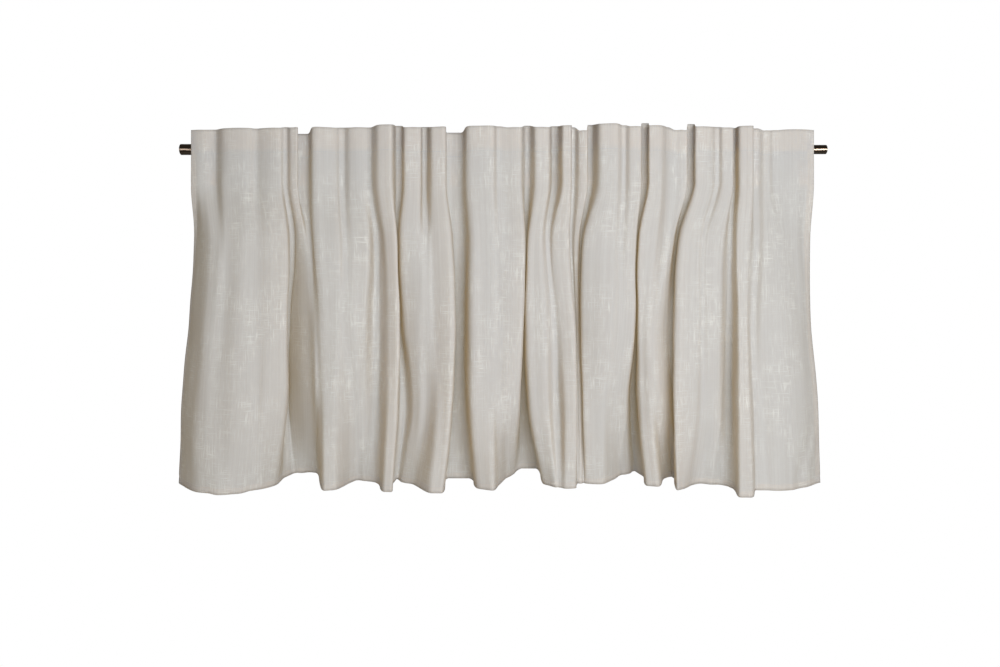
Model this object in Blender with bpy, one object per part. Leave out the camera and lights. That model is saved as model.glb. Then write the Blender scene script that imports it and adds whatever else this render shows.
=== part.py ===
"""Window valance: slub cloth with a pleated heading, held by loops on a rod of two tubes.

X runs along the rod, the face of the cloth looks towards -Y and Z is up. The origin is on the axis
of the rod, at the middle of its length. Sizes are in millimetres; they become metres where a mesh
is made.
"""

import collections
import math

import bmesh
import bpy
import numpy as np

MM = 0.001

# Cloth, measured down from its top edge.
TOP_Z = 31.0
DROP = 600.0
HEADING_TURN = 41.0
HEADING_FOOT = 95.0
HEM_TURN = 11.0
DOUBLED_THICKNESS = 2.0
SINGLE_SHARE = 0.65
CROWN_SHARE = 0.07
CROWN = 4.0
LIFT_FADE = 320.0
HEM_LIFT_FADE = 170.0

# Rod.
OUTER_RADIUS = 9.5
OUTER_BORE = 8.5
OUTER_END = 45.0
INNER_RADIUS = 8.0
INNER_BORE = 7.2
INNER_START = -90.0
ROD_HALF = 562.0
CAP = 2.0
ROD_SIDES = 48

# Loops on the back of the heading.
LOOP_WIDTH = 16.0
LOOP_THICKNESS = 0.8
LOOP_GAP = 0.35
LOOP_SEAM_TOP = 25.0
LOOP_LEAVES = 17.0
LOOP_RETURNS = -59.0
LOOP_SEAM_FOOT = -64.0

# One row for each fold, from the left. gap_x, gap_out and floor give the gap before the fold: its
# middle, how far its bottom stands in front of the axis of the rod, and the width of that bottom.
# left and right are the edges of the fold's front, each with how far it stands forward. The last
# row is the right edge of the cloth.
Fold = collections.namedtuple("Fold", "name gap_x gap_out floor left left_out right right_out")

HEADING = (
    Fold("a", -538, 17, 0, -530, 19, -514, 20),
    Fold("b", -499, 15, 6, -476, 34, -432, 37),
    Fold("b2", -422, 31, 4, -408, 36, -378, 40),
    Fold("b3", -371, 33, 5, -360, 42, -348, 44),
    Fold("c", -346, 14, 16, -321, 46, -284, 40),
    Fold("d", -275, 32, 7, -261, 41, -240, 44),
    Fold("e", -227, 42, 5, -209, 66, -186, 70),
    Fold("f", -180, 18, 7, -166, 50, -140, 50),
    Fold("g", -136, 18, 6, -121, 46, -98, 50),
    Fold("h", -85, 14, 24, -61, 50, -18, 56),
    Fold("i", -8, 44, 5, 6, 46, 29, 48),
    Fold("j", 41, 20, 6, 54, 50, 76, 48),
    Fold("k", 88, 20, 8, 99, 58, 112, 60),
    Fold("k2", 120, 16, 4, 129, 30, 142, 34),
    Fold("l", 149, 16, 6, 161, 54, 189, 58),
    Fold("l2", 203, 46, 4, 212, 54, 230, 54),
    Fold("m", 242, 27, 9, 244, 54, 264, 54),
    Fold("n", 279, 38, 5, 292, 32, 312, 34),
    Fold("o", 321, 24, 10, 323, 50, 351, 46),
    Fold("p", 362, 38, 5, 370, 45, 388, 42),
    Fold("q", 394, 20, 6, 398, 46, 419, 50),
    Fold("r", 434, 16, 9, 446, 22, 456, 22),
    Fold("s", 468, 16, 6, 486, 17, 521, 17),
    Fold("edge", 535, 16, 0, 0, 0, 0, 0),
)

# 190 mm below the top edge.
UPPER = (
    Fold("a", -534, 14, 0, -529, 19, -490, 62),
    Fold("b", -474, 67, 3, -460, 69, -416, 72),
    Fold("b2", -405, 70, 6, -393, 72, -358, 69),
    Fold("b3", -362, 22, 8, -352, 34, -336, 45),
    Fold("c", -326, 43, 4, -314, 67, -274, 70),
    Fold("d", -264, 62, 6, -252, 66, -224, 64),
    Fold("e", -215, 44, 6, -196, 70, -177, 76),
    Fold("f", -184, 18, 5, -172, 62, -139, 68),
    Fold("g", -129, 64, 6, -119, 67, -87, 72),
    Fold("h", -77, 18, 16, -54, 66, -16, 68),
    Fold("i", -6, 65, 6, 6, 66, 34, 68),
    Fold("j", 38, 14, 5, 42, 64, 64, 66),
    Fold("k", 74, 54, 5, 82, 62, 108, 66),
    Fold("k2", 115, 28, 4, 121, 36, 128, 36),
    Fold("l", 133, 26, 4, 134, 62, 184, 70),
    Fold("l2", 196, 66, 6, 206, 69, 219, 68),
    Fold("m", 228, 26, 4, 226, 62, 254, 62),
    Fold("n", 271, 48, 6, 280, 46, 287, 44),
    Fold("o", 296, 30, 4, 293, 66, 323, 70),
    Fold("p", 332, 66, 5, 340, 68, 366, 64),
    Fold("q", 383, 40, 6, 389, 60, 410, 58),
    Fold("r", 427, 44, 6, 437, 50, 458, 46),
    Fold("s", 470, 43, 5, 484, 38, 513, 24),
    Fold("edge", 528, 18, 0, 0, 0, 0, 0),
)

# 330 mm below the top edge.
LOWER = (
    Fold("a", -540, 22, 0, -535, 29, -492, 80),
    Fold("b", -475, 87, 3, -458, 89, -413, 92),
    Fold("b2", -400, 90, 6, -387, 91, -355, 85),
    Fold("b3", -373, 14, 8, -364, 22, -325, 60),
    Fold("c", -313, 72, 2, -299, 82, -271, 86),
    Fold("d", -257, 82, 6, -245, 82, -227, 74),
    Fold("e", -214, 50, 8, -190, 78, -172, 84),
    Fold("f", -180, 18, 5, -166, 60, -140, 76),
    Fold("g", -127, 78, 6, -114, 80, -81, 88),
    Fold("h", -77, 5, 12, -55, 80, -16, 84),
    Fold("i", -6, 82, 6, 6, 84, 31, 84),
    Fold("j", 35, 10, 5, 38, 66, 70, 72),
    Fold("k", 84, 62, 6, 95, 68, 116, 72),
    Fold("k2", 121, 34, 2, 124, 37, 127, 37),
    Fold("l", 131, 34, 2, 129, 66, 178, 82),
    Fold("l2", 191, 78, 6, 202, 76, 217, 68),
    Fold("m", 228, 24, 4, 223, 70, 238, 76),
    Fold("n", 248, 74, 2, 256, 70, 272, 54),
    Fold("o", 283, 46, 4, 281, 84, 318, 86),
    Fold("p", 327, 82, 5, 336, 84, 357, 78),
    Fold("q", 379, 50, 7, 385, 84, 398, 84),
    Fold("r", 412, 72, 6, 423, 78, 452, 77),
    Fold("s", 466, 73, 2, 480, 67, 511, 45),
    Fold("edge", 523, 33, 0, 0, 0, 0, 0),
)

# 470 mm below the top edge.
LOWEST = (
    Fold("a", -547, 36, 0, -542, 43, -497, 95),
    Fold("b", -480, 102, 3, -463, 105, -411, 108),
    Fold("b2", -399, 104, 6, -387, 103, -356, 83),
    Fold("b3", -378, 4, 8, -368, 12, -322, 55),
    Fold("c", -310, 71, 2, -295, 85, -274, 88),
    Fold("d", -252, 66, 8, -242, 62, -230, 56),
    Fold("e", -215, 46, 8, -190, 90, -174, 92),
    Fold("f", -171, 34, 8, -152, 60, -138, 70),
    Fold("g", -125, 74, 6, -108, 92, -86, 98),
    Fold("h", -78, 2, 16, -53, 86, -19, 90),
    Fold("i", -8, 84, 6, 4, 80, 25, 70),
    Fold("j", 35, -20, 10, 44, 62, 73, 70),
    Fold("k", 88, 56, 8, 101, 76, 119, 80),
    Fold("k2", 124, 42, 2, 127, 44, 130, 44),
    Fold("l", 134, 42, 2, 132, 60, 168, 64),
    Fold("l2", 181, 58, 6, 192, 54, 208, 46),
    Fold("m", 226, 0, 8, 225, 70, 241, 80),
    Fold("n", 251, 77, 2, 260, 72, 277, 54),
    Fold("o", 287, 46, 4, 279, 90, 315, 84),
    Fold("p", 328, 76, 6, 338, 76, 357, 72),
    Fold("q", 377, 54, 8, 379, 104, 397, 104),
    Fold("r", 413, 84, 6, 426, 84, 456, 85),
    Fold("s", 470, 82, 2, 485, 76, 519, 51),
    Fold("edge", 532, 41, 0, 0, 0, 0, 0),
)

# The bottom edge.
HEM = (
    Fold("a", -547, 46, 0, -541, 54, -495, 102),
    Fold("b", -478, 107, 3, -462, 109, -426, 102),
    Fold("b2", -409, 92, 6, -396, 83, -380, 60),
    Fold("b3", -372, 6, 8, -360, -6, -341, -8),
    Fold("c", -326, -4, 5, -293, 92, -274, 86),
    Fold("d", -256, 40, 8, -246, 30, -232, 34),
    Fold("e", -213, 48, 5, -195, 98, -181, 100),
    Fold("f", -185, 40, 4, -174, 38, -155, 52),
    Fold("g", -144, 66, 5, -119, 106, -98, 106),
    Fold("h", -77, 16, 36, -44, 78, -17, 92),
    Fold("i", -7, 56, 3, 4, 16, 15, -4),
    Fold("j", 45, -20, 26, 66, 50, 86, 72),
    Fold("k", 93, 74, 4, 101, 80, 119, 78),
    Fold("k2", 125, 48, 2, 128, 49, 131, 49),
    Fold("l", 135, 46, 2, 138, 50, 168, 52),
    Fold("l2", 187, 26, 6, 204, 4, 222, -6),
    Fold("m", 237, -4, 8, 237, 62, 257, 68),
    Fold("n", 275, 22, 4, 286, 8, 292, 4),
    Fold("o", 297, 8, 3, 283, 90, 302, 74),
    Fold("p", 316, 58, 6, 332, 50, 361, 58),
    Fold("q", 375, 74, 4, 377, 112, 399, 112),
    Fold("r", 413, 90, 4, 431, 90, 456, 92),
    Fold("s", 472, 88, 2, 486, 80, 522, 52),
    Fold("edge", 535, 43, 0, 0, 0, 0, 0),
)

# How much higher the cloth stands at the gap before a fold and at its front, first at the top edge,
# fading out below it, and then at the bottom edge, fading out above it.
Lift = collections.namedtuple("Lift", "name at_gap at_front")
TOP_LIFTS = (
    Lift("b", 1, 0),
    Lift("b3", 2, 0),
    Lift("c", -6, 0),
    Lift("d", 1.5, 0),
    Lift("f", 7, -1),
    Lift("g", 5, 0),
    Lift("h", -4, 0.5),
    Lift("i", 1.5, -0.5),
    Lift("j", 7, -0.5),
    Lift("k", 6, 0.5),
    Lift("k2", 5, -3),
    Lift("l", 9, 4),
    Lift("l2", 3, 0),
    Lift("m", 10, 1.5),
    Lift("n", 1, -2.5),
    Lift("o", 9, 0.5),
    Lift("p", 1.5, -0.5),
    Lift("q", 3, 1.5),
    Lift("r", 3, -1.5),
    Lift("s", 0, 1),
)
HEM_LIFTS = (
    Lift("b", 0, -2),
    Lift("b3", 2, 4),
    Lift("c", 3, 0),
    Lift("j", 8, 0),
    Lift("l2", 0, 3),
    Lift("m", 3, 0),
    Lift("q", 0, -5),
)

LEVELS = (
    (0.0, HEADING),
    (HEADING_FOOT, HEADING),
    (190.0, UPPER),
    (330.0, LOWER),
    (470.0, LOWEST),
    (DROP, HEM),
)

# Distances below the top edge at which the cloth's mesh has a row of points.
ROWS = (
    *(0, HEADING_TURN, HEADING_TURN + 4, HEADING_FOOT),
    *(128, 162, 208, 265, 330, 400, 470, 535),
    *(585, 589, DROP),
)

# Folds with so narrow a front that one step on each side of its middle is enough.
NARROW = ("b3", "k", "k2", "q", "r")

# The gap in front of each loop, named by the fold after it; "edge" is the right end panel.
LOOPED_GAPS = ("b", "c", "f", "g", "h", "j", "k", "l", "m", "o", "q", "r", "edge")
END_LOOP_X = 517.0


def clear_scene():
    for item in list(bpy.data.objects):
        bpy.data.objects.remove(item, do_unlink=True)


def material(name, colour, roughness, metallic=0.0):
    made = bpy.data.materials.new(name)
    made.use_nodes = True
    shader = made.node_tree.nodes["Principled BSDF"]
    shader.inputs["Base Color"].default_value = (*colour, 1.0)
    shader.inputs["Roughness"].default_value = roughness
    shader.inputs["Metallic"].default_value = metallic
    return made


def mesh_object(name, points, faces, look):
    mesh = bpy.data.meshes.new(name)
    mesh.from_pydata([tuple(MM * value for value in point) for point in points], [], faces)
    mesh.materials.append(look)
    made = bpy.data.objects.new(name, mesh)
    bpy.context.collection.objects.link(made)
    for face in mesh.polygons:
        face.use_smooth = True
    return made


def key_points(folds, lifts):
    """The bends of the cloth at one height (x, out, lift) and the number of steps after each."""
    named = {lift.name: lift for lift in lifts}
    points, steps = [], []
    for fold in folds[:-1]:
        lift = named.get(fold.name, Lift("", 0, 0))
        if points:
            points.append((fold.gap_x - fold.floor / 2, fold.gap_out, lift.at_gap))
            steps.append(1)
        points.append((fold.gap_x + fold.floor / 2, fold.gap_out, lift.at_gap))
        crown = min(CROWN, CROWN_SHARE * abs(fold.right - fold.left))
        middle = (fold.left_out + fold.right_out) / 2 + crown
        points.append((fold.left, fold.left_out, lift.at_front))
        points.append(((fold.left + fold.right) / 2, middle, lift.at_front))
        points.append((fold.right, fold.right_out, lift.at_front))
        steps += [2, 1, 1, 2] if fold.name in NARROW else [2, 2, 2, 2]
    edge = folds[-1]
    points.append((edge.gap_x, edge.gap_out, 0))
    return np.array(points, float), steps


def smooth_line(points, steps):
    """A centripetal Catmull-Rom curve through the points, with so many steps after each one."""
    ends = np.vstack([2 * points[0] - points[1], points, 2 * points[-1] - points[-2]])
    gaps = np.sqrt(np.linalg.norm(np.diff(ends[:, :2], axis=0), axis=1))
    gaps = np.maximum(gaps, 1e-3)
    line = []
    for index, count in enumerate(steps):
        p0, p1, p2, p3 = ends[index : index + 4]
        d0, d1, d2 = gaps[index : index + 3]
        slope_in = (p1 - p0) / d0 - (p2 - p0) / (d0 + d1) + (p2 - p1) / d1
        slope_out = (p2 - p1) / d1 - (p3 - p1) / (d1 + d2) + (p3 - p2) / d2
        for step in range(count):
            t = step / count
            line.append(
                (2 * t**3 - 3 * t**2 + 1) * p1
                + (t**3 - 2 * t**2 + t) * d1 * slope_in
                + (3 * t**2 - 2 * t**3) * p2
                + (t**3 - t**2) * d1 * slope_out
            )
    line.append(points[-1])
    return np.array(line)


def ease(value):
    value = min(max(value, 0.0), 1.0)
    return value * value * (3 - 2 * value)


def cloth_section(drop):
    """x, out and z across the cloth at one distance below its top edge."""
    drops = [level[0] for level in LEVELS]
    plans = []
    for at, folds in LEVELS:
        lifts = HEM_LIFTS if at == DROP else TOP_LIFTS
        plans.append(smooth_line(*key_points(folds, lifts)))
    after = min(max(1, int(np.searchsorted(drops, drop))), len(drops) - 1)
    before = after - 1
    span = drops[after] - drops[before]
    t = (drop - drops[before]) / span

    def slope(index):
        if index == 1:
            return 0.35 * (plans[2] - plans[1]) / (drops[2] - drops[1])
        if index == len(drops) - 1:
            return (plans[-1] - plans[-2]) / (drops[-1] - drops[-2])
        return (plans[index + 1] - plans[index - 1]) / (drops[index + 1] - drops[index - 1])

    if before == 0:
        plan = plans[0].copy()
    else:
        plan = (
            (2 * t**3 - 3 * t**2 + 1) * plans[before]
            + (t**3 - 2 * t**2 + t) * span * slope(before)
            + (3 * t**2 - 2 * t**3) * plans[after]
            + (t**3 - t**2) * span * slope(after)
        )
    from_top = ease(1.0 - drop / LIFT_FADE)
    from_hem = ease(1.0 - (DROP - drop) / HEM_LIFT_FADE)
    plan[:, 2] = TOP_Z - drop + plans[0][:, 2] * from_top + plans[-1][:, 2] * from_hem
    return plan


def make_panel(look):
    sections = [cloth_section(drop) for drop in ROWS]
    across = len(sections[0])
    points = [(x, -out, z) for section in sections for x, out, z in section]
    faces = []
    for row in range(len(ROWS) - 1):
        for first in range(row * across, row * across + across - 1):
            faces.append((first, first + across, first + across + 1, first + 1))
    panel = mesh_object("panel", points, faces, look)
    doubled = panel.vertex_groups.new(name="doubled")
    for row, drop in enumerate(ROWS):
        twice = drop <= HEADING_TURN or drop >= DROP - HEM_TURN
        doubled.add(list(range(row * across, (row + 1) * across)), 1.0 if twice else 0.0, "REPLACE")
    thick = panel.modifiers.new("Thickness", "SOLIDIFY")
    thick.thickness = DOUBLED_THICKNESS * MM
    thick.offset = 0.0
    thick.use_even_offset = True
    thick.vertex_group = "doubled"
    thick.thickness_vertex_group = SINGLE_SHARE
    return sections


def tangent_angle(out, height, radius, turn):
    """Where a line from a point touches the circle round the rod's axis; turn is 1 or -1."""
    return math.atan2(height, out) + turn * math.acos(radius / math.hypot(out, height))


def make_loop(name, x, cloth_out, radius, look):
    """A strip from the back of the heading over the rod, down behind it and back to the heading's foot."""
    round_radius = radius + LOOP_GAP + LOOP_THICKNESS / 2
    start = tangent_angle(cloth_out, LOOP_LEAVES, round_radius, 1)
    end = tangent_angle(cloth_out, LOOP_RETURNS, round_radius, -1) + 2 * math.pi
    path = [(cloth_out, LOOP_SEAM_TOP), (cloth_out, LOOP_LEAVES)]
    for step in range(9):
        angle = start + (end - start) * step / 8
        path.append((round_radius * math.cos(angle), round_radius * math.sin(angle)))
    path += [(cloth_out, LOOP_RETURNS), (cloth_out, LOOP_SEAM_FOOT)]
    sides = (x - LOOP_WIDTH / 2, x + LOOP_WIDTH / 2)
    points = [(side, -out, height) for out, height in path for side in sides]
    faces = [(2 * i, 2 * i + 2, 2 * i + 3, 2 * i + 1) for i in range(len(path) - 1)]
    loop = mesh_object(name, points, faces, look)
    thick = loop.modifiers.new("Thickness", "SOLIDIFY")
    thick.thickness = LOOP_THICKNESS * MM
    thick.offset = 0.0
    thick.use_even_offset = True


def make_loops(heading, look):
    gaps = {fold.name: fold.gap_x for fold in HEADING}
    gaps["edge"] = END_LOOP_X
    for number, name in enumerate(LOOPED_GAPS, 1):
        x = gaps[name]
        near = np.abs(heading[:, 0] - x) <= LOOP_WIDTH / 2 + 6
        back = heading[near, 1].min() - DOUBLED_THICKNESS / 2
        cloth_out = back - LOOP_GAP - LOOP_THICKNESS / 2
        radius = OUTER_RADIUS if x < OUTER_END + LOOP_WIDTH else INNER_RADIUS
        make_loop(f"loop_{number:02d}", x, cloth_out, radius, look)


def make_tube(name, profile, look):
    """A tube turned round the X axis from a profile of (x, radius) that starts and ends on the axis."""
    mesh = bpy.data.meshes.new(name)
    shape = bmesh.new()
    corners = [shape.verts.new((MM * x, MM * radius, 0.0)) for x, radius in profile]
    edges = [shape.edges.new(pair) for pair in zip(corners, corners[1:])]
    bmesh.ops.spin(
        shape,
        geom=corners + edges,
        cent=(0, 0, 0),
        axis=(1, 0, 0),
        angle=2 * math.pi,
        steps=ROD_SIDES,
    )
    bmesh.ops.remove_doubles(shape, verts=shape.verts, dist=1e-6)
    bmesh.ops.recalc_face_normals(shape, faces=shape.faces)
    shape.to_mesh(mesh)
    shape.free()
    mesh.materials.append(look)
    for face in mesh.polygons:
        face.use_smooth = True
    mesh.set_sharp_from_angle(angle=math.radians(40))
    bpy.context.collection.objects.link(bpy.data.objects.new(name, mesh))


def make_rod(look):
    make_tube(
        "rod_outer_tube",
        (
            (-ROD_HALF, 0),
            (-ROD_HALF, OUTER_RADIUS - 0.5),
            (-ROD_HALF + 0.5, OUTER_RADIUS),
            (OUTER_END - 0.3, OUTER_RADIUS),
            (OUTER_END, OUTER_RADIUS - 0.3),
            (OUTER_END, OUTER_BORE),
            (-ROD_HALF + CAP, OUTER_BORE),
            (-ROD_HALF + CAP, 0),
        ),
        look,
    )
    make_tube(
        "rod_inner_tube",
        (
            (ROD_HALF, 0),
            (ROD_HALF, INNER_RADIUS - 0.4),
            (ROD_HALF - 0.4, INNER_RADIUS),
            (INNER_START, INNER_RADIUS),
            (INNER_START, INNER_BORE),
            (ROD_HALF - CAP, INNER_BORE),
            (ROD_HALF - CAP, 0),
        ),
        look,
    )


def main():
    clear_scene()
    cloth = material("off_white_slub_cloth", (0.72, 0.68, 0.62), 0.9)
    tape = material("woven_loop_tape", (0.78, 0.75, 0.70), 0.85)
    metal = material("polished_dark_steel", (0.16, 0.13, 0.11), 0.25, 1.0)
    sections = make_panel(cloth)
    make_loops(sections[1], tape)
    make_rod(metal)


main()
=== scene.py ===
"""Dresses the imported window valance: slub cloth, seams, loop tape and rod, with a plain studio.

Sizes in the tables are millimetres in the frame of the part: X along the rod, the cloth's face
towards -Y, Z up and the origin on the rod's axis. They become metres where a mesh is made.
"""

import collections
import math

import bmesh
import bpy
import numpy as np
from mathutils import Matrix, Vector


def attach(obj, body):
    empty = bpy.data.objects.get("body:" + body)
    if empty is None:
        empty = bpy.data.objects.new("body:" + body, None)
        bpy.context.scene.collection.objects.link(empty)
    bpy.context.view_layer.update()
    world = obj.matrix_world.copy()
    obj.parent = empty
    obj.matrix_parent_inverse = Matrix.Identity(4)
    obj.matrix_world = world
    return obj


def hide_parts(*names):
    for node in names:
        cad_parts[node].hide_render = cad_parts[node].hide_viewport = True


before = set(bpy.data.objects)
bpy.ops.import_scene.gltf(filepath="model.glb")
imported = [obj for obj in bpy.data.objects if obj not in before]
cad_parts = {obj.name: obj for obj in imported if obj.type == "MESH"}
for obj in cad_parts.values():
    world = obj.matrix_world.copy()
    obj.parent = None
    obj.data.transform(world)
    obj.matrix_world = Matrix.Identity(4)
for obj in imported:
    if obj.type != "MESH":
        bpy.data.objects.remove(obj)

bl_info = {
    "name": "Slub valance on a rod",
    "version": (1, 0, 0),
    "blender": (4, 5, 0),
    "location": "View3D > Sidebar > Valance",
    "description": "Builds the cloth, seams, tape and rod of a gathered window valance",
    "category": "Add Mesh",
}

MM = 0.001

# The cloth in mm: the height of its top edge, and the rest measured in from its edges.
TOP_Z = 31.0
DROP = 600.0
HEADING_TURN = 41.0
HEADING_FOOT = 95.0
HEM_TURN = 11.0
HEM_STITCH = 10.0
SIDE_TURN = 9.0

# A turned layer lies LAYER_GAP behind the face and its bend stands EDGE_ROUND past the edge. At the
# sides it takes the columns of the mesh that lie within SIDE_REACH of the edge.
LAYER_GAP = 0.9
EDGE_ROUND = 0.3
SIDE_REACH = 15.0

# The front of a fold bulges by this share of its width, and by CROWN at most.
CROWN_SHARE = 0.07
CROWN = 4.0

# Steps of the line down each side of a fold and over each half of its front, and the places of the
# bends between them, in folds.
SIDE_STEPS = 7
FRONT_STEPS = 5
BENDS = (0.1, 0.3, 0.6, 0.9)

# How far the lifts of the top edge reach down and those of the bottom edge reach up, and the share
# of their later slope with which the folds leave the heading.
LIFT_FADE = 320.0
HEM_LIFT_FADE = 170.0
FIRST_SLOPE = 0.35

# Where the thread of a stitch shows, as shares of the stitch, and how far it stands off the cloth.
STITCH_SHOWN = (0.14, 0.50, 0.86)
STITCH_RISE = (-0.08, 0.16, -0.08)
THREAD_RADIUS = 0.26

# The faint ring pressed into the end of each tube: insets with their depths. RIM rounds its edges.
END_RING = ((0.5, 0.0), (1.2, -0.15), (0.4, 0.15))
RIM = 0.4

# One row for each fold, from the left. gap_x, gap_out and floor give the gap before the fold: its
# middle, how far its bottom stands in front of the axis of the rod, and the width of that bottom.
# left and right are the edges of the fold's front, each with how far it stands forward. The last
# row is the right edge of the cloth.
Fold = collections.namedtuple("Fold", "name gap_x gap_out floor left left_out right right_out")

HEADING = (
    Fold("a", -538, 17, 0, -530, 19, -514, 20),
    Fold("b", -499, 15, 6, -476, 34, -432, 37),
    Fold("b2", -422, 31, 4, -408, 36, -378, 40),
    Fold("b3", -371, 33, 5, -360, 42, -348, 44),
    Fold("c", -346, 14, 16, -321, 46, -284, 40),
    Fold("d", -275, 32, 7, -261, 41, -240, 44),
    Fold("e", -227, 42, 5, -209, 66, -186, 70),
    Fold("f", -180, 18, 7, -166, 50, -140, 50),
    Fold("g", -136, 18, 6, -121, 46, -98, 50),
    Fold("h", -85, 14, 24, -61, 50, -18, 56),
    Fold("i", -8, 44, 5, 6, 46, 29, 48),
    Fold("j", 41, 20, 6, 54, 50, 76, 48),
    Fold("k", 88, 20, 8, 99, 58, 112, 60),
    Fold("k2", 120, 16, 4, 129, 30, 142, 34),
    Fold("l", 149, 16, 6, 161, 54, 189, 58),
    Fold("l2", 203, 46, 4, 212, 54, 230, 54),
    Fold("m", 242, 27, 9, 244, 54, 264, 54),
    Fold("n", 279, 38, 5, 292, 32, 312, 34),
    Fold("o", 321, 24, 10, 323, 50, 351, 46),
    Fold("p", 362, 38, 5, 370, 45, 388, 42),
    Fold("q", 394, 20, 6, 398, 46, 419, 50),
    Fold("r", 434, 16, 9, 446, 22, 456, 22),
    Fold("s", 468, 16, 6, 486, 17, 521, 17),
    Fold("edge", 535, 16, 0, 0, 0, 0, 0),
)

# 190 mm below the top edge.
UPPER = (
    Fold("a", -534, 14, 0, -529, 19, -490, 62),
    Fold("b", -474, 67, 3, -460, 69, -416, 72),
    Fold("b2", -405, 70, 6, -393, 72, -358, 69),
    Fold("b3", -362, 22, 8, -352, 34, -336, 45),
    Fold("c", -326, 43, 4, -314, 67, -274, 70),
    Fold("d", -264, 62, 6, -252, 66, -224, 64),
    Fold("e", -215, 44, 6, -196, 70, -177, 76),
    Fold("f", -184, 18, 5, -172, 62, -139, 68),
    Fold("g", -129, 64, 6, -119, 67, -87, 72),
    Fold("h", -77, 18, 16, -54, 66, -16, 68),
    Fold("i", -6, 65, 6, 6, 66, 34, 68),
    Fold("j", 38, 14, 5, 42, 64, 64, 66),
    Fold("k", 74, 54, 5, 82, 62, 108, 66),
    Fold("k2", 115, 28, 4, 121, 36, 128, 36),
    Fold("l", 133, 26, 4, 134, 62, 184, 70),
    Fold("l2", 196, 66, 6, 206, 69, 219, 68),
    Fold("m", 228, 26, 4, 226, 62, 254, 62),
    Fold("n", 271, 48, 6, 280, 46, 287, 44),
    Fold("o", 296, 30, 4, 293, 66, 323, 70),
    Fold("p", 332, 66, 5, 340, 68, 366, 64),
    Fold("q", 383, 40, 6, 389, 60, 410, 58),
    Fold("r", 427, 44, 6, 437, 50, 458, 46),
    Fold("s", 470, 43, 5, 484, 38, 513, 24),
    Fold("edge", 528, 18, 0, 0, 0, 0, 0),
)

# 330 mm below the top edge.
LOWER = (
    Fold("a", -540, 22, 0, -535, 29, -492, 80),
    Fold("b", -475, 87, 3, -458, 89, -413, 92),
    Fold("b2", -400, 90, 6, -387, 91, -355, 85),
    Fold("b3", -373, 14, 8, -364, 22, -325, 60),
    Fold("c", -313, 72, 2, -299, 82, -271, 86),
    Fold("d", -257, 82, 6, -245, 82, -227, 74),
    Fold("e", -214, 50, 8, -190, 78, -172, 84),
    Fold("f", -180, 18, 5, -166, 60, -140, 76),
    Fold("g", -127, 78, 6, -114, 80, -81, 88),
    Fold("h", -77, 5, 12, -55, 80, -16, 84),
    Fold("i", -6, 82, 6, 6, 84, 31, 84),
    Fold("j", 35, 10, 5, 38, 66, 70, 72),
    Fold("k", 84, 62, 6, 95, 68, 116, 72),
    Fold("k2", 121, 34, 2, 124, 37, 127, 37),
    Fold("l", 131, 34, 2, 129, 66, 178, 82),
    Fold("l2", 191, 78, 6, 202, 76, 217, 68),
    Fold("m", 228, 24, 4, 223, 70, 238, 76),
    Fold("n", 248, 74, 2, 256, 70, 272, 54),
    Fold("o", 283, 46, 4, 281, 84, 318, 86),
    Fold("p", 327, 82, 5, 336, 84, 357, 78),
    Fold("q", 379, 50, 7, 385, 84, 398, 84),
    Fold("r", 412, 72, 6, 423, 78, 452, 77),
    Fold("s", 466, 73, 2, 480, 67, 511, 45),
    Fold("edge", 523, 33, 0, 0, 0, 0, 0),
)

# 470 mm below the top edge.
LOWEST = (
    Fold("a", -547, 36, 0, -542, 43, -497, 95),
    Fold("b", -480, 102, 3, -463, 105, -411, 108),
    Fold("b2", -399, 104, 6, -387, 103, -356, 83),
    Fold("b3", -378, 4, 8, -368, 12, -322, 55),
    Fold("c", -310, 71, 2, -295, 85, -274, 88),
    Fold("d", -252, 66, 8, -242, 62, -230, 56),
    Fold("e", -215, 46, 8, -190, 90, -174, 92),
    Fold("f", -171, 34, 8, -152, 60, -138, 70),
    Fold("g", -125, 74, 6, -108, 92, -86, 98),
    Fold("h", -78, 2, 16, -53, 86, -19, 90),
    Fold("i", -8, 84, 6, 4, 80, 25, 70),
    Fold("j", 35, -20, 10, 44, 62, 73, 70),
    Fold("k", 88, 56, 8, 101, 76, 119, 80),
    Fold("k2", 124, 42, 2, 127, 44, 130, 44),
    Fold("l", 134, 42, 2, 132, 60, 168, 64),
    Fold("l2", 181, 58, 6, 192, 54, 208, 46),
    Fold("m", 226, 0, 8, 225, 70, 241, 80),
    Fold("n", 251, 77, 2, 260, 72, 277, 54),
    Fold("o", 287, 46, 4, 279, 90, 315, 84),
    Fold("p", 328, 76, 6, 338, 76, 357, 72),
    Fold("q", 377, 54, 8, 379, 104, 397, 104),
    Fold("r", 413, 84, 6, 426, 84, 456, 85),
    Fold("s", 470, 82, 2, 485, 76, 519, 51),
    Fold("edge", 532, 41, 0, 0, 0, 0, 0),
)

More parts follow.
